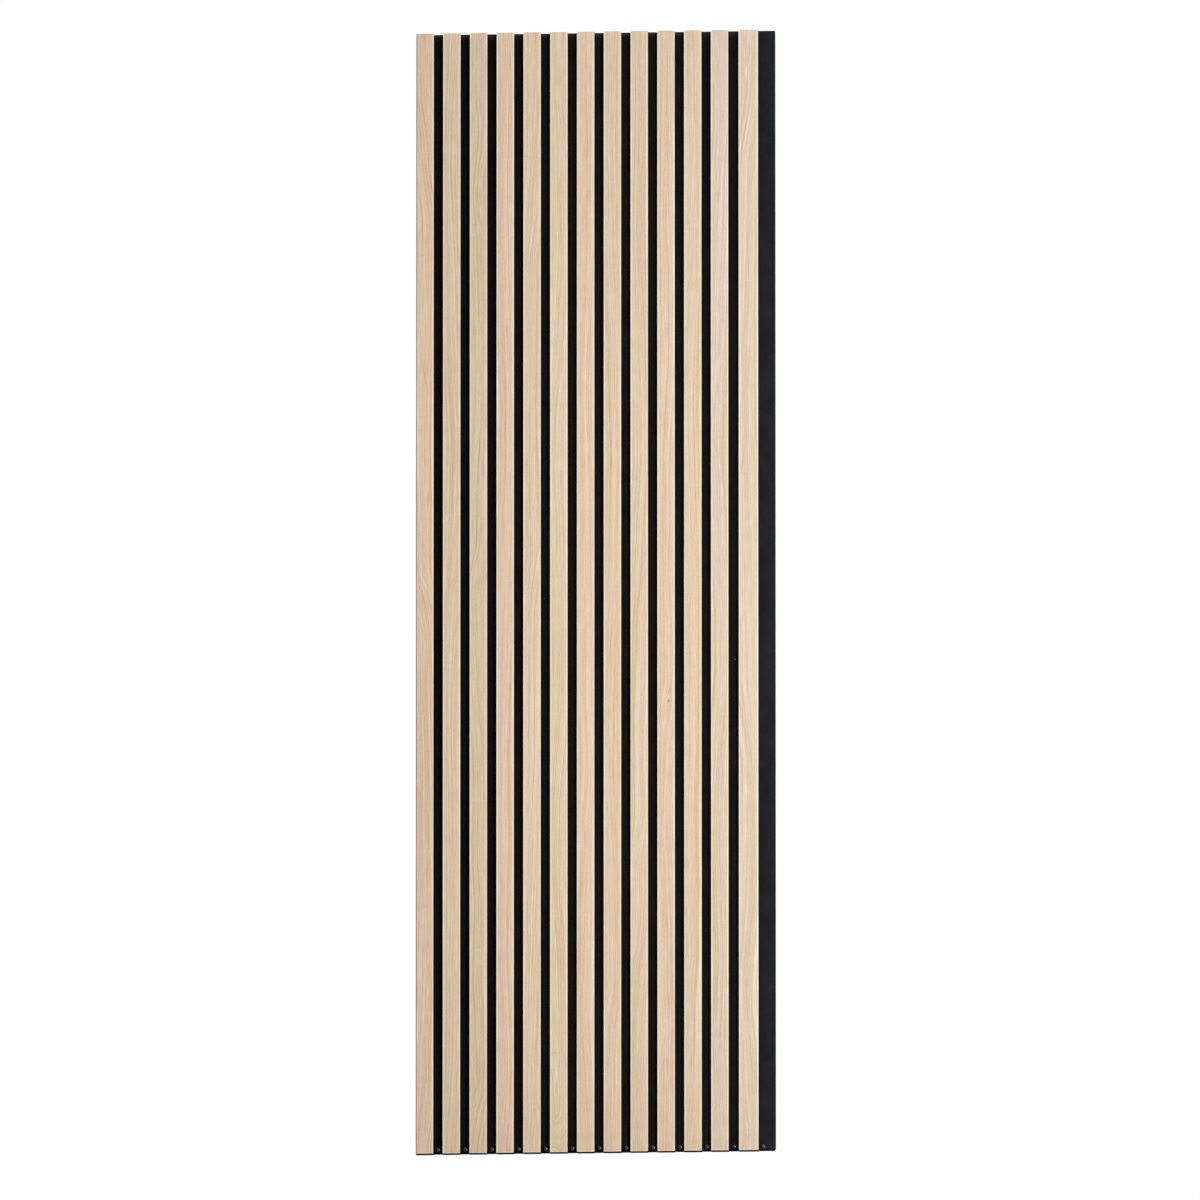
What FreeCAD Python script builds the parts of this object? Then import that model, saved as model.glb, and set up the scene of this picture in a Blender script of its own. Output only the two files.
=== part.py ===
# Acoustic slat wall panel: oak-faced slats on a felt board, with a row of small screws at its foot.
# All sizes are millimetres. X runs across the slats and Z along them, and the wall is the plane Y = 0.
# The slats face -Y, and the origin is the centre of the panel on its back face.

import FreeCAD, Part
import os
import Sketcher

PARTS_FOLDER = "parts"

# Driving sizes: the name of each cell, its value, and what it measures.
DRIVING_SIZES = [
    ("slat_count", 13, "slats on the panel, the wider last one included"),
    ("slat_length", 1800, "full height of the panel"),
    ("slat_width", 27.5, "width of every slat but the last"),
    ("slat_gap", 15, "open felt between two slats"),
    ("end_slat_width", 30.8, "width of the last slat, on the right"),
    ("end_gap", 16.5, "open felt before the last slat"),
    ("slat_thickness", 12, "core and veneer together"),
    ("veneer_thickness", 0.6, "oak veneer on the face of a slat"),
    ("arris", 0.4, "sanded-off width of the long front edges of the veneer"),
    ("felt_thickness", 9, "backing board of pressed polyester felt"),
    ("left_margin", 1.2, "felt showing to the left of the first slat"),
    ("right_margin", 26.5, "felt showing to the right of the last slat"),
    ("foot_recess", 2.4, "how far the felt stops short of the foot of the slats"),
    ("corner_radius", 2.5, "softened corner of the felt at the foot, on the right"),
    ("screw_rise", 5.5, "centre of a foot screw above the lower edge of the felt"),
    ("screw_inset", 6.5, "last foot screw, to the right of the last slat"),
    ("head_diameter", 7.2, "pan head of a foot screw"),
    ("head_top_diameter", 5.2, "flat top of the pan head"),
    ("head_height", 2.6, "top of the head above the felt"),
    ("head_rim", 1.3, "straight rim of the head, under its sloping shoulder"),
    ("shank_diameter", 3.2, "shank of a foot screw"),
    ("point_length", 2.2, "cone at the end of the shank"),
    ("tip_cover", 1.0, "felt left behind the point of a screw"),
    ("hole_clearance", 0.1, "gap all round the shank and past its point"),
    ("recess_span", 4.2, "cross recess, from end to end of one slot"),
    ("recess_width", 1.0, "width of one slot of the cross recess"),
    ("recess_depth", 1.3, "depth of the cross recess, from the top of the head"),
]

# Each screw is driven home at another turn, so its cross recess stands at another angle.
SCREW_TURN_DEGREES = 37

document = FreeCAD.newDocument("slat_wall_panel")


# Spreadsheet of driving sizes

def make_size_sheet():
    sheet = document.addObject("Spreadsheet::Sheet", "Sizes")
    for row, (alias, value, meaning) in enumerate(DRIVING_SIZES, start=1):
        sheet.set(f"A{row}", meaning)
        sheet.set(f"B{row}", str(value))
        sheet.setAlias(f"B{row}", alias)
    document.recompute()
    return sheet


sizes = make_size_sheet()
slat_count = int(sizes.slat_count)
last_slat = slat_count - 1

# Expressions that more than one piece uses
PITCH = "(Sizes.slat_width + Sizes.slat_gap)"
PANEL_WIDTH = (
    f"(Sizes.left_margin + {last_slat} * {PITCH} - Sizes.slat_gap + Sizes.end_gap"
    " + Sizes.end_slat_width + Sizes.right_margin)"
)
PANEL_LEFT = f"(-{PANEL_WIDTH} / 2)"
CORE_THICKNESS = "(Sizes.slat_thickness - Sizes.veneer_thickness)"
FELT_LENGTH = "(Sizes.slat_length - Sizes.foot_recess)"
FELT_FOOT = "(Sizes.foot_recess - Sizes.slat_length / 2)"
SCREW_Z = f"({FELT_FOOT} + Sizes.screw_rise)"
SHANK_LENGTH = "(Sizes.felt_thickness - Sizes.tip_cover)"


def slat_left(index):
    """Expression for the left edge of a slat, counted from 0."""
    left = f"{PANEL_LEFT} + Sizes.left_margin + {index} * {PITCH}"
    if index == last_slat:
        left += " - Sizes.slat_gap + Sizes.end_gap"
    return left


def slat_width(index):
    """Expression for the width of a slat."""
    return "Sizes.end_slat_width" if index == last_slat else "Sizes.slat_width"


def screw_x(index):
    """Expression for the centre of a foot screw: in the gap after a slat, or in the right margin."""
    right_of_slat = f"{slat_left(index)} + {slat_width(index)}"
    if index == last_slat:
        return f"{right_of_slat} + Sizes.screw_inset"
    gap = "Sizes.end_gap" if index == last_slat - 1 else "Sizes.slat_gap"
    return f"{right_of_slat} + {gap} / 2"


# Helpers for bodies and sketches

def new_body(label):
    body = document.addObject("PartDesign::Body", label)
    body.Label = label
    return body


def origin_feature(body, role):
    return next(item for item in body.Origin.OriginFeatures if item.Role == role)


def new_sketch(body, name, plane):
    sketch = body.newObject("Sketcher::SketchObject", name)
    sketch.AttachmentSupport = [(origin_feature(body, plane), "")]
    sketch.MapMode = "FlatFace"
    return sketch


def add_polygon(sketch, points):
    """Closed outline of straight lines through the points, joined end to end. Returns the lines' numbers."""
    corners = [FreeCAD.Vector(x, y, 0) for x, y in points]
    lines = []
    for start, end in zip(corners, corners[1:] + corners[:1]):
        lines.append(sketch.addGeometry(Part.LineSegment(start, end), False))
    for line, following in zip(lines, lines[1:] + lines[:1]):
        sketch.addConstraint(Sketcher.Constraint("Coincident", line, 2, following, 1))
    return lines


def bind(sketch, constraint, name, expression):
    """Adds a dimension to a sketch, names it and ties it to the size sheet."""
    number = sketch.addConstraint(constraint)
    sketch.renameConstraint(number, name)
    sketch.setExpression(f"Constraints.{name}", expression)


def add_rectangle(sketch, low_corner, width, depth):
    """Rectangle whose lower left corner, width and depth are expressions."""
    bottom, right, top, left = add_polygon(sketch, [(1, 1), (9, 1), (9, 5), (1, 5)])
    for line in (bottom, top):
        sketch.addConstraint(Sketcher.Constraint("Horizontal", line))
    for line in (right, left):
        sketch.addConstraint(Sketcher.Constraint("Vertical", line))
    bind(sketch, Sketcher.Constraint("DistanceX", -1, 1, bottom, 1, 1), "low_x", low_corner[0])
    bind(sketch, Sketcher.Constraint("DistanceY", -1, 1, bottom, 1, 1), "low_y", low_corner[1])
    bind(sketch, Sketcher.Constraint("DistanceX", bottom, 1, bottom, 2, 8), "width", width)
    bind(sketch, Sketcher.Constraint("DistanceY", right, 1, right, 2, 4), "depth", depth)


def pad_along_slats(body, sketch, length):
    """Pads a section half above and half below the middle of the panel."""
    pad = body.newObject("PartDesign::Pad", f"{body.Name}_pad")
    pad.Profile = sketch
    pad.SideType = "Symmetric"
    pad.setExpression("Length", length)
    sketch.Visibility = False
    document.recompute()
    return pad


def edge_names(shape, wanted):
    return [f"Edge{number}" for number, edge in enumerate(shape.Edges, start=1) if wanted(edge)]


# Felt backing board

def make_felt_backing():
    body = new_body("felt_backing")
    section = new_sketch(body, "felt_section", "XY_Plane")
    add_rectangle(section, (PANEL_LEFT, "-Sizes.felt_thickness"), PANEL_WIDTH, "Sizes.felt_thickness")
    board = pad_along_slats(body, section, FELT_LENGTH)
    body.setExpression("Placement.Base.z", "Sizes.foot_recess / 2")

    # The corner at the foot on the right is softened.
    right_x = board.Shape.BoundBox.XMax
    foot_z = board.Shape.BoundBox.ZMin

    def at_right_foot(edge):
        middle = edge.CenterOfMass
        return edge.BoundBox.YLength > 1 and abs(middle.x - right_x) < 0.01 and abs(middle.z - foot_z) < 0.01

    corner = body.newObject("PartDesign::Fillet", "felt_corner")
    corner.Base = (board, edge_names(board.Shape, at_right_foot))
    corner.setExpression("Radius", "Sizes.corner_radius")
    document.recompute()

    # One blind hole for each foot screw, from the front face.
    holes = new_sketch(body, "screw_holes", "XZ_Plane")
    holes.setExpression("AttachmentOffset.Base.z", "Sizes.felt_thickness")
    circles = []
    for index in range(slat_count):
        circle = Part.Circle(FreeCAD.Vector(10 * index, -10, 0), FreeCAD.Vector(0, 0, 1), 1)
        circles.append(holes.addGeometry(circle, False))
    for circle in circles[1:]:
        holes.addConstraint(Sketcher.Constraint("Equal", circles[0], circle))
    hole_size = "Sizes.shank_diameter + 2 * Sizes.hole_clearance"
    bind(holes, Sketcher.Constraint("Diameter", circles[0], 2), "hole_diameter", hole_size)
    hole_rise = f"{FELT_FOOT} + Sizes.screw_rise - Sizes.foot_recess / 2"
    for index, circle in enumerate(circles):
        bind(holes, Sketcher.Constraint("DistanceX", -1, 1, circle, 3, 10 * index), f"hole_x_{index}", screw_x(index))
        bind(holes, Sketcher.Constraint("DistanceY", -1, 1, circle, 3, -10), f"hole_z_{index}", hole_rise)
    solid_volume = corner.Shape.Volume
    pocket = body.newObject("PartDesign::Pocket", "screw_hole_pockets")
    pocket.Profile = holes
    pocket.setExpression("Length", f"{SHANK_LENGTH} + Sizes.hole_clearance")
    document.recompute()
    if not pocket.Shape.Volume < solid_volume:
        raise RuntimeError("the screw holes cut nothing out of the felt")
    return body


# Slats: a core with the veneer on its face

def make_slat_core(index):
    body = new_body(f"slat_{index + 1:02d}_core")
    section = new_sketch(body, f"{body.Name}_section", "XY_Plane")
    face_y = f"-(Sizes.felt_thickness + {CORE_THICKNESS})"
    add_rectangle(section, ("0", face_y), slat_width(index), CORE_THICKNESS)
    pad_along_slats(body, section, "Sizes.slat_length")
    body.setExpression("Placement.Base.x", slat_left(index))
    return body


def make_slat_veneer(index):
    body = new_body(f"slat_{index + 1:02d}_veneer")
    section = new_sketch(body, f"{body.Name}_section", "XY_Plane")
    face_y = "-(Sizes.felt_thickness + Sizes.slat_thickness)"
    add_rectangle(section, ("0", face_y), slat_width(index), "Sizes.veneer_thickness")
    sheet = pad_along_slats(body, section, "Sizes.slat_length")
    front_y = sheet.Shape.BoundBox.YMin

    def long_front_edge(edge):
        return edge.BoundBox.ZLength > 1 and abs(edge.CenterOfMass.y - front_y) < 0.01

    arris = body.newObject("PartDesign::Chamfer", f"{body.Name}_arris")
    arris.Base = (sheet, edge_names(sheet.Shape, long_front_edge))
    arris.setExpression("Size", "Sizes.arris")
    body.setExpression("Placement.Base.x", slat_left(index))
    return body


# Foot screws: one pan-head screw, then a copy in each gap and in the right margin

def make_screw():
    body = new_body("foot_screw")
    profile = new_sketch(body, "screw_profile", "XY_Plane")
    # The sketch has the radius along X and the screw's axis along Y, with the felt's face at Y = 0.
    corners = [(0, -3), (3, -3), (4, -1), (4, 0), (2, 0), (2, 6), (0, 8)]
    top, shoulder, rim, seat, shank, point, axis = add_polygon(profile, corners)
    for line in (top, seat):
        profile.addConstraint(Sketcher.Constraint("Horizontal", line))
    for line in (rim, shank):
        profile.addConstraint(Sketcher.Constraint("Vertical", line))
    profile.addConstraint(Sketcher.Constraint("PointOnObject", axis, 1, -2))
    profile.addConstraint(Sketcher.Constraint("PointOnObject", axis, 2, -2))
    profile.addConstraint(Sketcher.Constraint("PointOnObject", seat, 1, -1))
    bind(profile, Sketcher.Constraint("DistanceX", top, 1, top, 2, 3), "top_radius", "Sizes.head_top_diameter / 2")
    bind(profile, Sketcher.Constraint("DistanceX", -1, 1, seat, 1, 4), "head_radius", "Sizes.head_diameter / 2")
    bind(profile, Sketcher.Constraint("DistanceX", -1, 1, seat, 2, 2), "shank_radius", "Sizes.shank_diameter / 2")
    bind(profile, Sketcher.Constraint("DistanceY", rim, 1, rim, 2, 1), "rim", "Sizes.head_rim")
    bind(profile, Sketcher.Constraint("DistanceY", top, 1, -1, 1, 3), "head_top", "Sizes.head_height")
    bind(profile, Sketcher.Constraint("DistanceY", -1, 1, axis, 1, 8), "tip_depth", SHANK_LENGTH)
    bind(profile, Sketcher.Constraint("DistanceY", point, 1, point, 2, 2), "point", "Sizes.point_length")

    turned = body.newObject("PartDesign::Revolution", "turned_screw")
    turned.Profile = profile
    turned.ReferenceAxis = (profile, ["V_Axis"])
    turned.Angle = 360
    document.recompute()

    slot = new_sketch(body, "recess_slot", "XZ_Plane")
    slot.setExpression("AttachmentOffset.Base.z", "Sizes.head_height")
    low_corner = ("-Sizes.recess_span / 2", "-Sizes.recess_width / 2")
    add_rectangle(slot, low_corner, "Sizes.recess_span", "Sizes.recess_width")
    slot_cut = body.newObject("PartDesign::Pocket", "recess_slot_cut")
    slot_cut.Profile = slot
    slot_cut.setExpression("Length", "Sizes.recess_depth")
    document.recompute()
    cross = body.newObject("PartDesign::PolarPattern", "cross_recess")
    cross.Originals = [slot_cut]
    cross.Axis = (origin_feature(body, "Y_Axis"), [""])
    cross.Angle = 90
    cross.Occurrences = 2
    body.Tip = cross
    document.recompute()
    if not cross.Shape.Volume < slot_cut.Shape.Volume < turned.Shape.Volume:
        raise RuntimeError("the cross recess cuts nothing out of the screw")
    return body


def make_foot_screws(screw):
    copies = []
    for index in range(slat_count):
        copy = document.addObject("App::Link", f"foot_screw_{index + 1:02d}")
        copy.LinkedObject = screw
        turn = FreeCAD.Rotation(FreeCAD.Vector(0, 1, 0), index * SCREW_TURN_DEGREES)
        copy.Placement = FreeCAD.Placement(FreeCAD.Vector(0, 0, 0), turn)
        copy.setExpression("Placement.Base.x", screw_x(index))
        copy.setExpression("Placement.Base.y", "-Sizes.felt_thickness")
        copy.setExpression("Placement.Base.z", SCREW_Z)
        copies.append(copy)
    group = document.addObject("Part::Compound", "foot_screws")
    group.Label = "foot_screws"
    group.Links = copies
    return group


# The whole panel, its checks and its files

def make_panel():
    """Every sub-part, with the number of solids that it should hold."""
    pieces = [(make_felt_backing(), 1)]
    for index in range(slat_count):
        pieces.append((make_slat_core(index), 1))
        pieces.append((make_slat_veneer(index), 1))
    pieces.append((make_foot_screws(make_screw()), slat_count))
    document.recompute()
    return pieces


def check_document():
    for item in document.Objects:
        if "Invalid" in item.State or "Error" in item.State:
            raise RuntimeError(f"{item.Label} did not rebuild: {item.State}")


def check_piece(piece, solids):
    shape = piece.Shape
    if shape.isNull() or not shape.isValid():
        raise RuntimeError(f"{piece.Label} has no valid shape")
    if len(shape.Solids) != solids:
        raise RuntimeError(f"{piece.Label} has {len(shape.Solids)} solids, not {solids}")


pieces = make_panel()
check_document()
for piece, solids in pieces:
    check_piece(piece, solids)

os.makedirs(PARTS_FOLDER, exist_ok=True)
for piece, _ in pieces:
    piece.Shape.exportStep(os.path.join(PARTS_FOLDER, f"{piece.Label}.step"))
    box = piece.Shape.BoundBox
    print(
        f"{piece.Label}: {piece.Shape.Volume / 1000:.2f} cm3,"
        f" x {box.XMin:.2f}..{box.XMax:.2f}, y {box.YMin:.2f}..{box.YMax:.2f}, z {box.ZMin:.2f}..{box.ZMax:.2f}"
    )
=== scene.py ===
import math
import random

import bmesh
import bpy
from mathutils import Matrix, Vector, noise


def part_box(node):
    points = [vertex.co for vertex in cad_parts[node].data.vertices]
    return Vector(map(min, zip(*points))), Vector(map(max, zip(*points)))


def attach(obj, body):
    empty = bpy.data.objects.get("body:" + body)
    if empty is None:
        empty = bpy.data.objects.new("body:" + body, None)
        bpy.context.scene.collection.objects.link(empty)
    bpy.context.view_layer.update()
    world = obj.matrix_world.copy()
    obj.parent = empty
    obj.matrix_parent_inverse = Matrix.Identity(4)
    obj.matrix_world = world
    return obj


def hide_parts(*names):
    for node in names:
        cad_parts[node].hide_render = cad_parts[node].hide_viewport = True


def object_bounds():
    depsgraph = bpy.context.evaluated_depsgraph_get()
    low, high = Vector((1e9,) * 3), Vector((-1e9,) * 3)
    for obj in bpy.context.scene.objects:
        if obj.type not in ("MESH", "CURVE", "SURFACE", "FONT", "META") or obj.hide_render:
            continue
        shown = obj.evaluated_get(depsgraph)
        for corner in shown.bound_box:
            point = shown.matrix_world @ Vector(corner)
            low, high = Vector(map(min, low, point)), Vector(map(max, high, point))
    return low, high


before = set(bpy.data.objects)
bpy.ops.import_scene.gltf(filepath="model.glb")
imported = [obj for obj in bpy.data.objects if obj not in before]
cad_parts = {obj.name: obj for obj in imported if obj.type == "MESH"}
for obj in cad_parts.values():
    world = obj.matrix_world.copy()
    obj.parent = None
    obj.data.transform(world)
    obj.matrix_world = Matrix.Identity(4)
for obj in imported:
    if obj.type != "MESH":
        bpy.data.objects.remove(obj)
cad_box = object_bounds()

SLAT_COUNT = 13
MM = 0.001

# The photograph's camera: far off with a long lens, a little to the right of the panel and below its middle.
# The distance and the aim are in metres, the lens and the sensor in mm.
CAMERA_AZIMUTH = math.radians(3.9)
CAMERA_ELEVATION = math.radians(-10.03)
CAMERA_DISTANCE = 80.0
CAMERA_LENS = 1517.6
CAMERA_SENSOR = 36.0
CAMERA_AIM = Vector((0.0078, -0.021, -0.015))


# Colours and nodes

def linear(hex_colour):
    """An sRGB hex value as the linear colour that a shader takes."""
    channels = [int(hex_colour[start:start + 2], 16) / 255 for start in (1, 3, 5)]
    return [c / 12.92 if c <= 0.04045 else ((c + 0.055) / 1.055) ** 2.4 for c in channels] + [1.0]


def add(tree, kind, inputs=None, output=0, **settings):
    """Adds a node, sets its properties and fills its inputs: a socket is linked and a value is set.
    Gives back one of its outputs, if it has any."""
    node = tree.nodes.new(kind)
    for name, value in settings.items():
        setattr(node, name, value)
    for key, value in (inputs or {}).items():
        if isinstance(value, bpy.types.NodeSocket):
            tree.links.new(value, node.inputs[key])
        else:
            node.inputs[key].default_value = value
    return node.outputs[output] if node.outputs else None


def new_material(name):
    """A material with an empty tree, and the place on the object in millimetres."""
    material = bpy.data.materials.new(name)
    material.use_nodes = True
    tree = material.node_tree
    tree.nodes.clear()
    place = add(tree, "ShaderNodeTexCoord", output="Object")
    place_mm = add(tree, "ShaderNodeVectorMath", {0: place, "Scale": 1 / MM}, operation="SCALE")
    return material, tree, place_mm


def cells(tree, place_mm, size, detail=0.0, turn=(0.0, 0.0, 0.0)):
    """Smooth random tone about zero, with soft spots of that size in mm, turned first."""
    turned = add(tree, "ShaderNodeMapping", {"Vector": place_mm, "Rotation": turn}, vector_type="POINT")
    per_mm = [1 / side for side in size]
    spots = add(tree, "ShaderNodeVectorMath", {0: turned, 1: per_mm}, operation="MULTIPLY")
    level = add(tree, "ShaderNodeTexNoise", {"Vector": spots, "Scale": 1.0, "Detail": detail})
    return add(tree, "ShaderNodeMath", {0: level, 1: 0.5}, operation="SUBTRACT")


def weigh(tree, start, *weighted):
    """A start value plus each tone times its weight."""
    total = start
    for tone, weight in weighted:
        total = add(tree, "ShaderNodeMath", {0: tone, 1: weight, 2: total}, operation="MULTIPLY_ADD")
    return total


def rise(tree, value, low, high, bottom=0.0, top=1.0):
    """From bottom to top as the value goes from low to high, with soft ends."""
    ends = {"Value": value, "From Min": low, "From Max": high, "To Min": bottom, "To Max": top}
    return add(tree, "ShaderNodeMapRange", ends, interpolation_type="SMOOTHSTEP")


def colour_ramp(tree, value, *stops):
    """A colour for each position given."""
    colour = add(tree, "ShaderNodeValToRGB", {0: value})
    elements = colour.node.color_ramp.elements
    for position, hex_colour in stops[1:-1]:
        elements.new(position).color = linear(hex_colour)
    for index in (0, -1):
        position, hex_colour = stops[index]
        elements[index].position = position
        elements[index].color = linear(hex_colour)
    return colour


def blend(tree, factor, first, second, blend_type="MIX"):
    """The first colour with the second over it, as strongly as the factor says."""
    return add(tree, "ShaderNodeMix", {"Factor": factor, 6: first, 7: second}, output=2, data_type="RGBA",
               blend_type=blend_type)


def surface(tree, shader_inputs, bump=None, depth_mm=0.0):
    """The shader, with a bump from a height between 0 and 1 where there is one."""
    inputs = dict(shader_inputs)
    if bump is not None:
        inputs["Normal"] = add(tree, "ShaderNodeBump", {"Height": bump, "Distance": depth_mm * MM})
    add(tree, "ShaderNodeOutputMaterial", {"Surface": add(tree, "ShaderNodeBsdfPrincipled", inputs)})


# Oak veneer: sliced 0.6 mm thick, fine-sanded, bleached pale and given a matt lacquer.
# The eye gets straight soft streaks along the slat with a few swoops of figure, and hardly any shine.

# One row a slat: how pale and how warm it is, then its figure as (height, sideways shift, half length) in mm.
# The grain crosses sideways by twice the shift over about twice the half length, and with a shift above zero
# it leans down to the right.
SLAT_FIGURE = [
    (-0.12, -0.05, [(760, 5, 35), (640, 5, 40), (-14, 13, 46), (-860, -8, 60)]),
    (-0.06, -0.15, [(-840, -7, 60), (300, 2, 90)]),
    (-0.14, -0.15, [(780, 4, 30), (690, -5, 35), (45, -10, 38), (-233, 5, 40), (-440, 5, 60),
                  (-830, -11, 45)]),
    (0.0, 0.0, [(-300, -2, 150), (-850, -4, 60)]),
    (0.09, 0.05, [(610, -6, 90), (0, -8, 60), (-860, -4, 60)]),
    (0.14, 0.15, [(300, -3, 150), (-305, -5, 60)]),
    (0.16, 0.15, [(-330, -4, 50), (420, -3, 90), (-740, 4, 60)]),
    (0.06, 0.1, [(200, 2, 200), (-667, -4, 35)]),
    (0.07, 0.05, [(90, -3, 100), (-394, -8, 45), (-590, -12, 70)]),
    (0.13, 0.08, [(-190, -5, 40), (560, -3, 150)]),
    (0.15, 0.08, [(420, -3, 200), (-852, -4, 40)]),
    (0.24, -0.15, [(723, -4, 45), (-215, -5, 90), (-770, 4, 45)]),
    (0.33, -0.15, [(734, -12, 60), (-225, 8, 70), (-707, 4, 45)]),
]
# Where lines part round a small centre: slat number, then its place across, height, half width and half
# height in mm
EYES = [
    (10, 17.0, -177.0, 5.0, 18.0),
    (13, 12.0, -860.0, 7.0, 30.0),
]
# Where lines close in nested bows: slat number, the middle across and the lowest point of the inmost bow in
# mm, how many times longer than wide a bow is, and over what height above it in mm the lines come together
ARCHES = [
    (6, 11.5, -832.0, 3.4, 190.0),
]
# Small marks: slat number, then place across, height, half width and half height in mm, then lean, colour and
# strength. The first seven of slat 10 are its small knot and the lines that pass it.
MARKS = [
    (1, 9.0, -690.0, 0.7, 8.0, 0.25, "#b8906a", 0.5),
    (1, 16.6, 451.0, 1.0, 16.0, 0.0, "#f0e4d5", 0.55),
    (1, 12.0, 355.0, 0.9, 32.0, -0.21, "#b8906a", 0.5),
    (1, 19.0, 148.0, 1.2, 18.0, 0.05, "#b8906a", 0.5),
    (1, 12.0, 18.0, 1.2, 18.0, -0.45, "#f0e4d5", 0.6),
    (1, 11.0, -8.0, 0.9, 26.0, -0.33, "#b8906a", 0.5),
    (1, 7.0, -40.0, 1.0, 22.0, -0.25, "#f0e4d5", 0.5),
    (3, 15.7, 232.0, 0.8, 20.0, -0.1, "#be976e", 0.5),
    (3, 12.5, 55.0, 0.7, 12.0, 0.3, "#be976e", 0.5),
    (3, 9.0, -97.0, 1.0, 10.0, 0.0, "#be976e", 0.5),
    (4, 18.1, -858.0, 0.8, 6.0, 0.1, "#b18a62", 0.7),
    (5, 22.5, 787.0, 0.7, 30.0, 0.0, "#bf9870", 0.55),
    (5, 17.0, 575.0, 0.8, 34.0, 0.14, "#bf9870", 0.5),
    (5, 11.5, 560.0, 0.8, 26.0, 0.12, "#f6eadb", 0.5),
    (5, 15.0, 14.0, 1.0, 50.0, 0.13, "#bf9870", 0.5),
    (5, 23.0, 45.0, 0.9, 22.0, 0.15, "#f6eadb", 0.6),
    (6, 14.7, 679.0, 0.9, 24.0, 0.0, "#f4e7d6", 0.5),
    (7, 20.0, 250.0, 0.7, 9.0, 0.0, "#c09a72", 0.5),
    (10, 17.4, -178.5, 1.8, 3.6, 0.2, "#ac763f", 0.8),
    (10, 17.8, -164.0, 0.8, 9.0, 0.33, "#bd8d66", 0.7),
    (10, 9.0, -170.0, 3.2, 16.0, 0.1, "#f0e3cd", 0.4),
    (10, 14.7, -189.5, 1.8, 8.0, 0.3, "#d9b892", 0.5),
    (10, 17.2, -203.0, 1.0, 5.0, 0.3, "#c8a47c", 0.6),
    (10, 22.6, -206.5, 0.7, 2.2, 0.1, "#fff3e2", 0.6),
    (10, 9.7, -217.0, 0.7, 6.0, 0.1, "#f8ecd9", 0.6),
    (10, 14.0, -400.0, 0.8, 26.0, 0.08, "#c09a72", 0.5),
    (12, 7.8, 703.0, 0.8, 26.0, 0.05, "#c39d75", 0.55),
    (12, 10.8, 700.0, 1.0, 26.0, 0.05, "#f6ecdc", 0.6),
    (13, 25.0, -592.0, 1.3, 4.0, 0.3, "#fff8ee", 0.8),
    (13, 27.2, -591.0, 0.6, 3.0, 0.2, "#c09c78", 0.6),
    (13, 9.3, 734.0, 0.8, 26.0, 0.14, "#c39d75", 0.6),
    (13, 14.0, 742.0, 1.2, 30.0, 0.16, "#fbf1e4", 0.7),
    (13, 12.5, 832.0, 1.0, 14.0, 0.03, "#f8eddf", 0.7),
    (13, 17.2, 867.0, 0.8, 16.0, 0.0, "#c39d75", 0.55),
    (13, 22.0, 663.0, 0.9, 18.0, 0.1, "#c39d75", 0.6),
    (13, 14.5, 560.0, 0.8, 28.0, 0.06, "#c39d75", 0.5),
    (13, 10.5, 545.0, 0.9, 16.0, 0.05, "#f8eddf", 0.6),
    (13, 17.0, 375.0, 0.8, 45.0, 0.03, "#c39d75", 0.5),
    (13, 6.0, 200.0, 0.8, 26.0, 0.12, "#c39d75", 0.5),
]
# How far apart in mm two slats' leaves of veneer lie in the noise that draws them
LEAF_STEP = 137.0


def place_in_grain(tree, number, swoops, across, along, flat):
    """Where a point lies across the grain, in mm: its place across the slat, carried sideways with the
    lines."""
    # The grain wanders sideways on its way up the slat, in one long sway and one short one.
    long_sway = cells(tree, flat, (90, 480, 1))
    short_sway = cells(tree, flat, (40, 110, 1))
    grain = weigh(tree, across, (long_sway, 34.0), (short_sway, 5.0))
    for height, shift, reach in swoops:
        above = add(tree, "ShaderNodeMath", {0: along, 1: height}, operation="SUBTRACT")
        steep = add(tree, "ShaderNodeMath", {0: above, 1: reach}, operation="DIVIDE")
        swoop = add(tree, "ShaderNodeMath", {0: steep}, operation="TANH")
        grain = weigh(tree, grain, (swoop, shift))
    for eye_slat, eye_across, eye_height, half_width, half_height in EYES:
        if eye_slat != number:
            continue
        centre = (eye_across, eye_height, 0)
        offset = add(tree, "ShaderNodeVectorMath", {0: flat, 1: centre}, operation="SUBTRACT")
        scaled = add(tree, "ShaderNodeVectorMath", {0: offset, 1: (1 / half_width, 1 / half_height, 0)},
                     operation="MULTIPLY")
        distance = add(tree, "ShaderNodeVectorMath", {0: scaled}, output="Value", operation="LENGTH")
        pull = rise(tree, distance, 0.0, 1.8, 1.0, 0.0)
        side = add(tree, "ShaderNodeSeparateXYZ", {0: offset})
        push = add(tree, "ShaderNodeMath", {0: side, 1: pull}, operation="MULTIPLY")
        grain = weigh(tree, grain, (push, -0.85))
    for arch_slat, middle, height, times_longer, closing in ARCHES:
        if arch_slat != number:
            continue
        off_middle = add(tree, "ShaderNodeMath", {0: across, 1: middle}, operation="SUBTRACT")
        below = add(tree, "ShaderNodeMath", {0: height, 1: along}, operation="SUBTRACT")
        below = add(tree, "ShaderNodeMath", {0: below, 1: 0.0}, operation="MAXIMUM")
        below = add(tree, "ShaderNodeMath", {0: below, 1: times_longer}, operation="DIVIDE")
        corner = add(tree, "ShaderNodeCombineXYZ", {"X": off_middle, "Y": below})
        bow = add(tree, "ShaderNodeVectorMath", {0: corner}, output="Value", operation="LENGTH")
        bow = weigh(tree, middle, (bow, 1.0), (cells(tree, flat, (9, 34, 1)), 7.0))
        closed = rise(tree, along, height, height + closing, 1.0, 0.0)
        grain = add(tree, "ShaderNodeMix", {0: closed, 2: grain, 3: bow}, data_type="FLOAT")
    return grain


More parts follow.
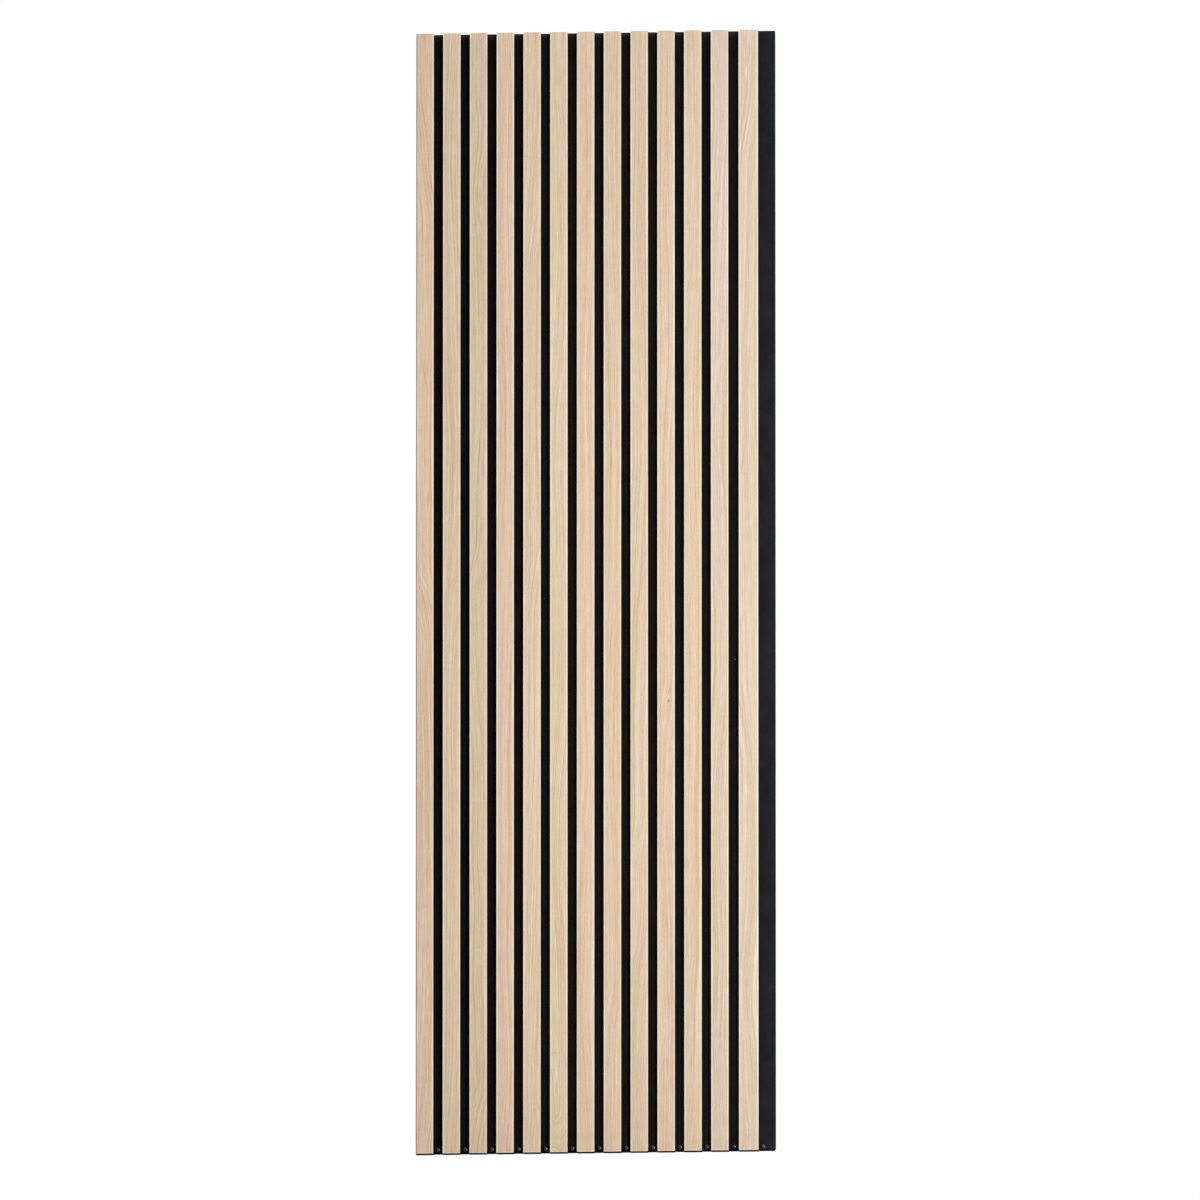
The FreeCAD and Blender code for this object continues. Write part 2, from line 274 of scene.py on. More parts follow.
def draw_marks(tree, colour, number, across, along, flat):
    """The colour with the slat's own small marks on it. Their outlines are a little ragged."""
    for mark_slat, mark_across, mark_height, half_width, half_height, lean, hex_colour, strength in MARKS:
        if mark_slat != number:
            continue
        up = add(tree, "ShaderNodeMath", {0: along, 1: mark_height}, operation="SUBTRACT")
        ragged = cells(tree, flat, (3, 3, 1))
        off = weigh(tree, -mark_across, (across, 1.0), (up, -lean), (ragged, 1.2))
        spot = add(tree, "ShaderNodeCombineXYZ", {"X": off, "Y": up})
        spot = add(tree, "ShaderNodeVectorMath", {0: spot, 1: (1 / half_width, 1 / half_height, 0)},
                   operation="MULTIPLY")
        reach = add(tree, "ShaderNodeVectorMath", {0: spot}, output="Value", operation="LENGTH")
        colour = blend(tree, rise(tree, reach, 0.3, 1.4, strength, 0.0), colour, linear(hex_colour))
    return colour


def draw_edges(tree, colour, number, across, width, above_foot):
    """The colour with the face's edges painted on it: paler arrises that are partly painted highlight, a
    darker outer left edge, and painted shade along the foot.
    """
    # The arris is drawn paler along the sides and at the foot: a little for the sanded wood, mostly as a
    # painted highlight where the rounded edge catches the light.
    edge = add(tree, "ShaderNodeMath", {0: width, 1: across}, operation="SUBTRACT")
    edge = add(tree, "ShaderNodeMath", {0: edge, 1: above_foot}, operation="MINIMUM")
    if number > 1:
        edge = add(tree, "ShaderNodeMath", {0: edge, 1: across}, operation="MINIMUM")
    arris_highlight = rise(tree, edge, 1.1, 2.8, 1.0, 0.0)
    colour = blend(tree, arris_highlight, colour, linear("#7e7e73"), "ADD")
    if number == 1:
        # The panel's outer left edge is drawn browner and darker than the face.
        dark_left_edge = rise(tree, across, 0.9, 1.6, 1.0, 0.0)
        colour = blend(tree, dark_left_edge, colour, linear("#96795f"))
    # Painted shade: the lowest millimetre of the face is darkened to near black, standing in for the shade
    # under the slats' foot.
    face_foot_shade = rise(tree, above_foot, 0.7, 1.1, 1.0, 0.0)
    return blend(tree, face_foot_shade, colour, linear("#211a16"))


def oak_veneer(number, low, high):
    """The material of one slat's face. Across and along are mm from the slat's left edge and from the panel's
    mid-height."""
    paleness, warmth, swoops = SLAT_FIGURE[number - 1]
    material, tree, place_mm = new_material(f"oak_veneer_{number:02d}")
    axes = add(tree, "ShaderNodeSeparateXYZ", {0: place_mm}).node.outputs
    along = axes["Z"]
    across = add(tree, "ShaderNodeMath", {0: axes["X"], 1: low.x / MM}, operation="SUBTRACT")
    leaf = number * LEAF_STEP
    flat = add(tree, "ShaderNodeCombineXYZ", {"X": across, "Y": along, "Z": leaf})
    grain = place_in_grain(tree, number, swoops, across, along, flat)
    at_grain = add(tree, "ShaderNodeCombineXYZ", {"X": grain, "Y": along, "Z": leaf})

    # Tones from broad to fine: colour bands, growth rings, streaks, hair lines, and short flecks
    band = cells(tree, at_grain, (4.4, 900, 1), 1.0)
    ring = cells(tree, at_grain, (1.7, 420, 1))
    streak = cells(tree, at_grain, (1.5, 62, 1), 1.0)
    hair = cells(tree, at_grain, (0.75, 24, 1))
    fleck = cells(tree, at_grain, (1.5, 5.5, 1))
    fibre = cells(tree, at_grain, (0.3, 16, 1), 1.0)
    # Some open pores are drawn as dashes about 0.6 mm wide and 9 mm long, twice the real size, or they
    # wouldn't show.
    pore = rise(tree, cells(tree, at_grain, (0.6, 9, 1)), 0.16, 0.34)
    fine_pore = rise(tree, cells(tree, at_grain, (0.3, 4.5, 1)), 0.14, 0.28)
    tone = weigh(tree, 0.48 + 0.5 * paleness, (band, 0.64), (ring, 0.66), (streak, 0.58), (hair, 0.42),
                 (fleck, 0.2), (fibre, 0.42), (pore, -0.13), (fine_pore, -0.26))
    colour = colour_ramp(tree, tone, (0.0, "#c8a27b"), (0.5, "#dfc5aa"), (1.0, "#f0e0cb"))

    # Warmer and cooler streaks, and broader ones that lean to pink or green
    hue = cells(tree, at_grain, (2.4, 34, 1), 1.0)
    warm_or_cool = colour_ramp(tree, weigh(tree, 0.5 - warmth, (hue, 1.25)), (0.0, "#fffaeb"),
                               (0.5, "#ffffff"), (1.0, "#f4fbff"))
    colour = blend(tree, 1.0, colour, warm_or_cool, "MULTIPLY")
    blush = cells(tree, at_grain, (4.5, 28, 1), 1.0)
    pink_or_green = colour_ramp(tree, weigh(tree, 0.5, (blush, 1.3)), (0.0, "#fff7fb"), (0.5, "#ffffff"),
                                (1.0, "#f8fff6"))
    colour = blend(tree, 1.0, colour, pink_or_green, "MULTIPLY")

    colour = draw_marks(tree, colour, number, across, along, flat)
    above_foot = add(tree, "ShaderNodeMath", {0: along, 1: low.z / MM}, operation="SUBTRACT")
    colour = draw_edges(tree, colour, number, across, (high.x - low.x) / MM, above_foot)
    roughness = weigh(tree, 0.55, (streak, 0.12), (pore, 0.15))
    relief = weigh(tree, 0.5, (hair, 0.3), (fibre, 0.4), (pore, -0.5), (fine_pore, -0.4))
    surface(tree, {"Base Color": colour, "Roughness": roughness, "IOR": 1.5, "Specular IOR Level": 0.3},
            relief, depth_mm=0.06)
    return material


def dyed_fibreboard():
    """Medium-density fibreboard, dyed black right through and sawn: matt, with brownish fibres and faint saw
    lines."""
    material, tree, place_mm = new_material("dyed_fibreboard")
    fibre = cells(tree, place_mm, (0.5, 0.5, 1.6), 2.0)
    clump = cells(tree, place_mm, (3, 3, 5), 1.0)
    saw = cells(tree, place_mm, (60, 60, 0.7))
    tone = weigh(tree, 0.5, (fibre, 1.1), (clump, 0.5), (saw, 0.25))
    colour = colour_ramp(tree, tone, (0.2, "#151211"), (0.5, "#211c1a"), (0.85, "#3d332d"))
    surface(tree, {"Base Color": colour, "Roughness": 0.85, "Specular IOR Level": 0.2},
            weigh(tree, 0.5, (fibre, 0.8), (saw, 0.3)), depth_mm=0.12)
    return material


def needled_felt(strip_start, low, high):
    """Needle-punched polyester felt board: black fibres pressed together every way, with no gloss.
    A few greyer fibres and the small pits of the needles keep it from being one flat black.
    In the gaps between the slats the felt is painted darker and browner, as painted shade. The bare strip
    past the last slat, the sides and the back keep the felt's own bluer and paler black."""
    material, tree, place_mm = new_material("needled_felt")
    # Fibres lie every way and are bent, so the place is first pushed about by a few mm.
    push = add(tree, "ShaderNodeTexNoise", {"Vector": place_mm, "Scale": 0.16, "Detail": 2.0}, output="Color")
    push = add(tree, "ShaderNodeVectorMath", {0: push, 1: (0.5, 0.5, 0.5)}, operation="SUBTRACT")
    bent = add(tree, "ShaderNodeVectorMath", {0: push, 1: (14, 14, 14), 2: place_mm},
               operation="MULTIPLY_ADD")
    # They are drawn 0.25 mm wide, about ten times the real ones, or they wouldn't show.
    lying, rising, falling, upright = [cells(tree, bent, (3.6, 0.5, 0.25), 1.0, (0, turn, 0.6 * turn))
                                       for turn in (0.1, 0.85, -0.7, 1.6)]
    pits = cells(tree, place_mm, (1.3, 1.3, 1.3), 1.0)
    cloud = cells(tree, place_mm, (14, 14, 30), 2.0)
    tone = weigh(tree, 0.5, (lying, 0.5), (rising, 0.5), (falling, 0.5), (upright, 0.55), (pits, 0.3),
                 (cloud, 0.35))
    colour = colour_ramp(tree, tone, (0.1, "#131417"), (0.5, "#232429"), (0.75, "#303238"), (1.0, "#5b5d63"))

    # Painted shade: in the gaps the felt is darkened and browned, most on the left, as the slats keep light
    # from it.
    axes = add(tree, "ShaderNodeSeparateXYZ", {0: place_mm}).node.outputs
    strip_mm = strip_start / MM
    front = low.y / MM
    foot = low.z / MM
    top = high.z / MM
    left_of_strip = rise(tree, axes["X"], strip_mm, strip_mm + 2.0, 1.0, 0.0)
    in_front = rise(tree, axes["Y"], front + 1.0, front + 3.0, 1.0, 0.0)
    in_gap = add(tree, "ShaderNodeMath", {0: left_of_strip, 1: in_front}, operation="MULTIPLY")
    gap_shade = blend(tree, rise(tree, axes["X"], -280.0, 60.0), linear("#b9b19f"), linear("#e0d8c5"))
    colour = blend(tree, in_gap, colour, blend(tree, 1.0, colour, gap_shade, "MULTIPLY"))

    # The upper cut edge is greyer with its frayed fibre ends. In the gaps just below, the top 11 mm is
    # painted greyer too: painted light that falls in over the slats' tops.
    light_at_gap_tops = rise(tree, axes["Z"], top - 11.0, top - 2.0, 0.0, 0.42)
    light_at_gap_tops = add(tree, "ShaderNodeMath", {0: light_at_gap_tops, 1: in_gap}, operation="MULTIPLY")
    cut_face = rise(tree, axes["Z"], top - 1.2, top - 0.2, 0.0, 0.3)
    grey = add(tree, "ShaderNodeMath", {0: light_at_gap_tops, 1: cut_face}, operation="MAXIMUM")
    # The bare strip's lowest 8 mm is drawn greyer in patches.
    strip_foot_patches = rise(tree, axes["Z"], foot + 4.0, foot + 8.0, 0.9, 0.0)
    patches = rise(tree, cells(tree, place_mm, (3.0, 3.0, 2.0), 1.0), -0.02, 0.12)
    strip_foot_patches = add(tree, "ShaderNodeMath", {0: strip_foot_patches, 1: patches}, operation="MULTIPLY")
    in_strip = weigh(tree, 1.0, (left_of_strip, -1.0))
    strip_foot_patches = add(tree, "ShaderNodeMath", {0: strip_foot_patches, 1: in_strip}, operation="MULTIPLY")
    grey = add(tree, "ShaderNodeMath", {0: grey, 1: strip_foot_patches}, operation="MAXIMUM")
    colour = blend(tree, grey, colour, linear("#46464a"))
    # Painted shade: the felt's lowest 2 mm is darkened, where the foot lies in its own shadow.
    felt_foot_shade = rise(tree, axes["Z"], foot + 1.0, foot + 2.2, 0.7, 0.0)
    colour = blend(tree, felt_foot_shade, colour, linear("#08080a"))

    relief = weigh(tree, 0.5, (lying, 0.4), (rising, 0.4), (falling, 0.4), (upright, 0.4), (pits, 0.5))
    surface(tree, {"Base Color": colour, "Roughness": 1.0, "Specular IOR Level": 0.05}, relief, depth_mm=0.35)
    return material


def felt_fibre():
    """Loose polyester fibres that stand off the felt: the same black, with some greyer ones among them."""
    material, tree, place_mm = new_material("felt_fibre")
    tone = weigh(tree, 0.5, (cells(tree, place_mm, (2, 2, 2)), 1.2))
    colour = colour_ramp(tree, tone, (0.2, "#1a1a1d"), (0.6, "#2b2c30"), (1.0, "#77787c"))
    surface(tree, {"Base Color": colour, "Roughness": 0.7, "Specular IOR Level": 0.2})
    return material


def cotton_lint():
    """Lint from cotton: off-white fibres with no gloss, so a tuft is a small pale speck on the black felt."""
    material, tree, place_mm = new_material("cotton_lint")
    tone = weigh(tree, 0.5, (cells(tree, place_mm, (0.6, 0.6, 0.6)), 1.2))
    colour = colour_ramp(tree, tone, (0.2, "#b0ada6"), (0.6, "#cbc7be"), (1.0, "#ded9cf"))
    surface(tree, {"Base Color": colour, "Roughness": 0.9, "Specular IOR Level": 0.1})
    return material


def phosphated_steel():
    """Phosphate-coated steel, oiled: a dark grey crystalline skin on bright metal, dull with a soft glint."""
    material, tree, place_mm = new_material("phosphated_steel")
    wear = cells(tree, place_mm, (0.8, 0.8, 0.8), 2.0)
    colour = colour_ramp(tree, weigh(tree, 0.5, (wear, 1.0)), (0.2, "#3e3e42"), (0.6, "#525257"),
                         (0.95, "#6f6f74"))
    surface(tree, {"Base Color": colour, "Metallic": 1.0, "Roughness": weigh(tree, 0.24, (wear, 0.15))},
            weigh(tree, 0.5, (wear, 0.3)), depth_mm=0.02)
    return material


# Pieces

# Two places nearer than this, in metres, are one place.
SAME_PLACE = 1e-6
# Where two faces meet at more than this, the edge between them stays hard.
HARD_EDGE = math.radians(30)


def link_piece(name, mesh, material, slot, *replaced):
    """Adds a mesh as a piece of the object. It rides on the panel's one body and stands for the nodes named
    last."""
    mesh.materials.append(material)
    piece = bpy.data.objects.new(name, mesh)
    bpy.context.scene.collection.objects.link(piece)
    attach(piece, "root")
    if replaced:
        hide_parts(*replaced)


def finished_mesh(shape, name):
    """The mesh of a shape that is done with."""
    mesh = bpy.data.meshes.new(name)
    shape.to_mesh(mesh)
    shape.free()
    return mesh


def smooth_but_flats(mesh):
    """Smooth faces, with hard edges where they meet at a corner."""
    for face in mesh.polygons:
        face.use_smooth = True
    mesh.set_sharp_from_angle(angle=HARD_EDGE)


ARRIS_RADIUS = 0.4 * MM
ARRIS_STEPS = 5


def veneer_strip(low, high):
    """A strip of veneer whose four front edges are sanded round. Its back is flat on the core."""
    shape = bmesh.new()
    bmesh.ops.create_cube(shape, size=1.0)
    bmesh.ops.scale(shape, vec=high - low, verts=shape.verts)
    bmesh.ops.translate(shape, vec=(low + high) / 2, verts=shape.verts)
    front = [edge for edge in shape.edges
             if all(abs(vertex.co.y - low.y) < SAME_PLACE for vertex in edge.verts)]
    bmesh.ops.bevel(shape, geom=front, offset=ARRIS_RADIUS, segments=ARRIS_STEPS, profile=0.5, affect="EDGES")
    mesh = finished_mesh(shape, "veneer_strip")
    smooth_but_flats(mesh)
    return mesh


# How far apart the points of the felt's mesh are, and how round its cut edges and its one corner are
FELT_STEP = 6.0 * MM
FELT_EDGE_RADIUS = 0.7 * MM
FELT_EDGE_STEPS = 4
FELT_CORNER_RADIUS = 3.5 * MM
# How deep the felt's dents go, and how many broad and fine ones there are in a metre
FELT_UNEVEN = 0.2 * MM
BROAD_DENTS = 55
FINE_DENTS = 170
# Only points at least this share of the way from the board's middle to its side are moved with that side.
NEAR_SIDE = 0.98
# How far the cut edge along the foot has opened out, as soft felt does
FELT_FOOT_SPREAD = 0.5 * MM


def stations(start, stop, corner, inwards):
    """Places along a side of the board at even steps, and closer ones next to the rounded corner."""
    count = round((stop - start) / FELT_STEP)
    even = [start + (stop - start) * index / count for index in range(count + 1)]
    close = [corner + inwards * FELT_CORNER_RADIUS * share for share in (0.15, 0.35, 0.6, 0.9)]
    return sorted(even + close)


def felt_board(low, high):
    """A board of felt with soft cut edges, a surface that is never quite flat, and one rounded corner.
    Every point is pulled inwards, never out, so the slats still cover where they lie on it."""
    radius = FELT_EDGE_RADIUS
    across = stations(low.x + radius, high.x - radius, high.x - radius, -1)
    upwards = stations(low.z + radius, high.z - radius, low.z + radius, 1)
    columns = len(across) - 1
    rows = len(upwards) - 1
    shape = bmesh.new()

    def face_points(y):
        """The points of the board's front or back, by column and row."""
        points = {}
        for column, x in enumerate(across):
            for row, z in enumerate(upwards):
                points[column, row] = shape.verts.new((x, y, z))
        return points

    front = face_points(low.y)
    back = face_points(high.y)
    for column in range(columns):
        for row in range(rows):
            corners = ((column, row), (column + 1, row), (column + 1, row + 1), (column, row + 1))
            shape.faces.new([front[corner] for corner in corners])
            shape.faces.new([back[corner] for corner in reversed(corners)])

    # Rings of points carry the rounded edge from the front round to the back.
    rim = [(column, 0) for column in range(columns)] + [(columns, row) for row in range(rows)]
    rim += [(column, rows) for column in range(columns, 0, -1)] + [(0, row) for row in range(rows, 0, -1)]
    turns = [math.pi / 2 * step / FELT_EDGE_STEPS for step in range(1, FELT_EDGE_STEPS + 1)]
    ring_places = [(math.sin(turn), low.y + radius * (1 - math.cos(turn))) for turn in turns]
    ring_places += [(reach, low.y + high.y - y) for reach, y in reversed(ring_places)]
    rings = [[front[spot] for spot in rim]]
    for reach, y in ring_places:
        ring = []
        for column, row in rim:
            outward = Vector(((column == columns) - (column == 0), 0, (row == rows) - (row == 0)))
            side = outward.normalized() * reach * radius
            ring.append(shape.verts.new((across[column] + side.x, y, upwards[row] + side.z)))
        rings.append(ring)
    rings.append([back[spot] for spot in rim])
    for inside, outside in zip(rings, rings[1:]):
        for index in range(len(rim)):
            after = (index + 1) % len(rim)
            shape.faces.new((inside[after], inside[index], outside[index], outside[after]))

    middle = (low + high) / 2
    half = (high - low) / 2
    corner = Vector((high.x - FELT_CORNER_RADIUS, 0, low.z + FELT_CORNER_RADIUS))
    for vertex in shape.verts:
        past = vertex.co - corner
        past.y = 0
        if past.x > 0 > past.z and past.length > FELT_CORNER_RADIUS:
            vertex.co -= past * (1 - FELT_CORNER_RADIUS / past.length)
        # Front and back are dented everywhere, and the sides close to the rim.
        for axis in range(3):
            off_middle = (vertex.co[axis] - middle[axis]) / half[axis]
            if abs(off_middle) < NEAR_SIDE and axis != 1:
                continue
            broad = 0.5 + 0.5 * noise.noise(vertex.co * BROAD_DENTS + Vector((7.0 * axis, 0, 0)))
            fine = 0.5 + 0.5 * noise.noise(vertex.co * FINE_DENTS + Vector((0, 3.0 * axis, 0)))
            vertex.co[axis] -= math.copysign(FELT_UNEVEN * (0.7 * broad + 0.3 * fine), off_middle)
    bmesh.ops.recalc_face_normals(shape, faces=shape.faces)
    mesh = finished_mesh(shape, "felt_board")
    for face in mesh.polygons:
        face.use_smooth = True
    return mesh


# The screws' sizes in mm, as in the solids that they stand for
HEAD_RADIUS = 3.6
HEAD_HEIGHT = 2.6
RIM_HEIGHT = 1.3
RECESS_SPAN = 4.2
RECESS_WIDTH = 1.0
RECESS_DEPTH = 1.3
SHANK_RADIUS = 1.6
POINT_LENGTH = 2.2
# The rest of their shape: the bevel under the head's rim in mm, how full the dome's shoulder is, where 1 is
# round and less is fuller, and in how many steps the dome is drawn, downwards and round
RIM_BEVEL = 0.25
SHOULDER = 0.9
DOME_STEPS = 9
HEAD_SEGMENTS = 40
# The recess tapers. These are its span and its width, as shares of the sizes above, where its cutter starts,
# that many mm above the head, and at its floor.
CUTTER_RISE = 0.5
CUTTER_TOP = (1.12, 1.3)
CUTTER_FLOOR = (0.45, 0.25)


def screw_profile(shank_length):
    """Radius and distance in front of the felt, from the middle of the head round to the point."""
    turns = [math.pi / 2 * step / DOME_STEPS for step in range(DOME_STEPS + 1)]
    dome_height = HEAD_HEIGHT - RIM_HEIGHT
    dome = [(HEAD_RADIUS * math.sin(turn) ** SHOULDER, RIM_HEIGHT + dome_height * math.cos(turn))
            for turn in turns]
    rim = [(HEAD_RADIUS, RIM_BEVEL), (HEAD_RADIUS - RIM_BEVEL, 0.0), (SHANK_RADIUS, 0.0)]
    shank = [(SHANK_RADIUS, POINT_LENGTH - shank_length), (0.0, -shank_length)]
    return dome + rim + shank


def recess_cutter():
    """The tapered cross that is punched in the head."""
    cutter = bmesh.new()
    levels = ((HEAD_HEIGHT + CUTTER_RISE, CUTTER_TOP), (HEAD_HEIGHT - RECESS_DEPTH, CUTTER_FLOOR))
    for turn in (0.0, math.pi / 2):
        corners = []
        for height, (long_share, wide_share) in levels:
            for x, y in ((-1, -1), (1, -1), (1, 1), (-1, 1)):
                spot = Vector((x * RECESS_SPAN / 2 * long_share, y * RECESS_WIDTH / 2 * wide_share, height))
                spot.rotate(Matrix.Rotation(turn, 3, "Z"))
                corners.append(cutter.verts.new(spot))
        for side in ((0, 1, 2, 3), (7, 6, 5, 4), (0, 4, 5, 1), (1, 5, 6, 2), (2, 6, 7, 3), (3, 7, 4, 0)):
            cutter.faces.new([corners[index] for index in side])
    bmesh.ops.recalc_face_normals(cutter, faces=cutter.faces)
    return finished_mesh(cutter, "recess_cutter")


def screw_mesh(shank_length):
    """One pan-head screw in mm, standing along +Z with the underside of its head at zero."""
    shape = bmesh.new()
    turns = [2 * math.pi * step / HEAD_SEGMENTS for step in range(HEAD_SEGMENTS)]
    rings = []
    for radius, height in screw_profile(shank_length):
        if radius == 0.0:
            rings.append([shape.verts.new((0, 0, height))])
        else:
            rings.append([shape.verts.new((radius * math.cos(turn), radius * math.sin(turn), height))
                          for turn in turns])
    for upper, lower in zip(rings, rings[1:]):
        for index in range(HEAD_SEGMENTS):
            after = (index + 1) % HEAD_SEGMENTS
            corners = [upper[index % len(upper)], lower[index % len(lower)], lower[after % len(lower)],
                       upper[after % len(upper)]]
            # Where a ring is a single point, the face is a triangle.
            shape.faces.new(list(dict.fromkeys(corners)))
    bmesh.ops.recalc_face_normals(shape, faces=shape.faces)
    screw = bpy.data.objects.new("screw", finished_mesh(shape, "screw"))
    cutter = bpy.data.objects.new("cutter", recess_cutter())
    for thing in (screw, cutter):
        bpy.context.scene.collection.objects.link(thing)
    cut = screw.modifiers.new("recess", "BOOLEAN")
    cut.operation = "DIFFERENCE"
    cut.solver = "EXACT"
    cut.use_self = True
    cut.object = cutter
    depsgraph = bpy.context.evaluated_depsgraph_get()
    done = bpy.data.meshes.new_from_object(screw.evaluated_get(depsgraph))
    for thing in (screw, cutter):
        bpy.data.objects.remove(thing)
    return done


def solid_groups(mesh):
    """The separate solids of a mesh, each as its lowest and highest corner."""
    # Every point starts as a group of its own. Points in one place or on one edge join their groups.
    parent = list(range(len(mesh.vertices)))

    def root(index):
        while parent[index] != index:
            parent[index] = parent[parent[index]]
            index = parent[index]
        return index

    spots = {}
    for vertex in mesh.vertices:
        spot = tuple(round(value / SAME_PLACE) for value in vertex.co)
        parent[root(vertex.index)] = root(spots.setdefault(spot, vertex.index))
    for edge in mesh.edges:
        parent[root(edge.vertices[0])] = root(edge.vertices[1])
    groups = {}
    for vertex in mesh.vertices:
        groups.setdefault(root(vertex.index), []).append(vertex.co)
    return [(Vector(map(min, zip(*points))), Vector(map(max, zip(*points)))) for points in groups.values()]


# How much further each screw is turned than the one on its left
SCREW_TURN = math.radians(37)


def foot_screws(node):
    """The row of screws at the foot. Each cross stands at its own angle, as when driven by hand."""
    solids = sorted(solid_groups(node.data), key=lambda solid: solid[0].x)
    felt_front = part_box("felt_backing")[0].y
    single = screw_mesh((solids[0][1].y - felt_front) / MM)
    shape = bmesh.new()
    for index, (low, high) in enumerate(solids):
        middle = (low + high) / 2
        place = Matrix.Translation((middle.x, felt_front, middle.z)) @ Matrix.Rotation(math.pi / 2, 4, "X")
        place = place @ Matrix.Rotation(SCREW_TURN * index, 4, "Z") @ Matrix.Scale(MM, 4)
        before = len(shape.verts)
        shape.from_mesh(single)
        shape.verts.ensure_lookup_table()
        bmesh.ops.transform(shape, matrix=place, verts=shape.verts[before:])
    mesh = finished_mesh(shape, "pan_head_screws")
    smooth_but_flats(mesh)
    return mesh


# A loose fibre is drawn about three times as thick as a real one, or it wouldn't show. It is a three-sided
# tube in four parts, with this share of the full radius at the three points between its ends.
FIBRE_RADIUS = 0.035 * MM
FIBRE_SIDES = 3
FIBRE_PARTS = 4
FIBRE_TAPER = (1.0, 0.9, 0.7)


def add_fibre(shape, start, direction, length, curl, rng):
    """A thin curled fibre that tapers to a point at both ends."""
    spots = [start]
    heading = direction.normalized()
    for _ in range(FIBRE_PARTS):
        bend = Vector((rng.uniform(-1, 1), rng.uniform(-1, 1), rng.uniform(-1, 1)))
        heading = (heading + bend * curl).normalized()
        spots.append(spots[-1] + heading * length / FIBRE_PARTS)
    sideways = heading.orthogonal().normalized()
    upwards = heading.cross(sideways)
    turns = [2 * math.pi * side / FIBRE_SIDES for side in range(FIBRE_SIDES)]
    rings = []
    for spot, share in zip(spots[1:-1], FIBRE_TAPER):
        radius = FIBRE_RADIUS * share
        rings.append([shape.verts.new(spot + radius * (sideways * math.cos(turn) + upwards * math.sin(turn)))
                      for turn in turns])
    first = shape.verts.new(spots[0])
    last = shape.verts.new(spots[-1])
    for side in range(FIBRE_SIDES):
        after = (side + 1) % FIBRE_SIDES
        shape.faces.new((first, rings[0][after], rings[0][side]))
        shape.faces.new((last, rings[-1][side], rings[-1][after]))
        for near, far in zip(rings, rings[1:]):
            shape.faces.new((near[side], near[after], far[after], far[side]))


# How many fibres stand off the cut edges and lie on the faces, the shortest and longest of them in mm, how
# many mm deep they are rooted, and how strongly they curl
EDGE_FIBRES = 4200
EDGE_FIBRE_MM = (0.8, 2.2)
EDGE_ROOT_MM = 0.5
EDGE_CURL = 0.35
FACE_FIBRES = 2600
FACE_FIBRE_MM = (1.0, 2.8)
FACE_ROOT_MM = 0.35
FACE_CURL = 0.45
# The share of the fibres on the faces that are on the front, where only the gaps and the strip are bare
FRONT_SHARE = 0.6


def loose_fibres(low, high, covered):
    """Fibres that stand off the cut edges of the felt, and a few that lie on its front and back."""
    rng = random.Random(41)
    shape = bmesh.new()
    width = high.x - low.x
    height = high.z - low.z
    for _ in range(EDGE_FIBRES):
        y = rng.uniform(low.y + 0.4 * MM, high.y - 0.4 * MM)
        walk = rng.uniform(0, 2 * (width + height))
        if walk < 2 * width:
            bottom = walk < width
            start = Vector((low.x + walk % width, y, low.z if bottom else high.z))
            out = Vector((0, 0, -1 if bottom else 1))
        else:
            left = walk < 2 * width + height
            start = Vector((low.x if left else high.x, y, low.z + (walk - 2 * width) % height))
            out = Vector((-1 if left else 1, 0, 0))
        start -= out * EDGE_ROOT_MM * MM
        lean = Vector((rng.gauss(0, 1), rng.gauss(0, 1), rng.gauss(0, 1))) * 0.9
        direction = out + lean - out * lean.dot(out)
        add_fibre(shape, start, direction, rng.uniform(*EDGE_FIBRE_MM) * MM, EDGE_CURL, rng)
    placed = 0
    while placed < FACE_FIBRES:
        x = rng.uniform(low.x + 1 * MM, high.x - 1 * MM)
        front = rng.random() < FRONT_SHARE
        if front and any(left - 0.5 * MM < x < right + 0.5 * MM for left, right in covered):
            continue
        placed += 1
        out = Vector((0, -1 if front else 1, 0))
        start = Vector((x, low.y if front else high.y, rng.uniform(low.z, high.z)))
        start -= out * FACE_ROOT_MM * MM
        lean = Vector((rng.gauss(0, 1), 0, rng.gauss(0, 1)))
        add_fibre(shape, start, out * 0.5 + lean, rng.uniform(*FACE_FIBRE_MM) * MM, FACE_CURL, rng)
    return finished_mesh(shape, "loose_fibres")


# Tufts of lint caught on the felt in the gaps: place across and height in mm, and how many fibres
LINT = [
    (220.8, -111.0, 34),
    (218.2, -123.0, 5),
    (221.6, -168.0, 6),
    (-80.7, -10.0, 9),
]
LINT_FIBRE_MM = (0.9, 1.7)
LINT_ROOT_MM = 0.15
LINT_CURL = 0.5


def lint_tufts(front):
    """Short curled fibres that lie over each other on the front of the felt."""
    rng = random.Random(7)
    shape = bmesh.new()
    for across, height, fibres in LINT:
        for _ in range(fibres):
            start = Vector((across * MM, front - LINT_ROOT_MM * MM, height * MM))
            start += Vector((rng.uniform(-0.4, 0.4), rng.uniform(-0.3, 0.0), rng.uniform(-0.6, 0.6))) * MM
            direction = Vector((rng.gauss(0, 1), rng.gauss(0, 0.2), rng.gauss(0, 1)))
            add_fibre(shape, start, direction, rng.uniform(*LINT_FIBRE_MM) * MM, LINT_CURL, rng)
    return finished_mesh(shape, "lint_tufts")


# Floor, light and camera

def background_rays(tree):
    """One where the eye looks straight, by a reflection or through glass at what surrounds the object."""
    rays = add(tree, "ShaderNodeLightPath").node.outputs
    seen = add(tree, "ShaderNodeMath", {0: rays["Is Camera Ray"], 1: rays["Is Glossy Ray"]},
               operation="MAXIMUM")
    return add(tree, "ShaderNodeMath", {0: seen, 1: rays["Is Transmission Ray"]}, operation="MAXIMUM")


# The floor's half width and its gap under the panel, in metres
FLOOR_HALF = 6.0
FLOOR_GAP = 0.0005
# How far in mm from the panel's middle the floor begins to fade, and where it has gone
FADE_START = 1200.0
FADE_END = 2800.0


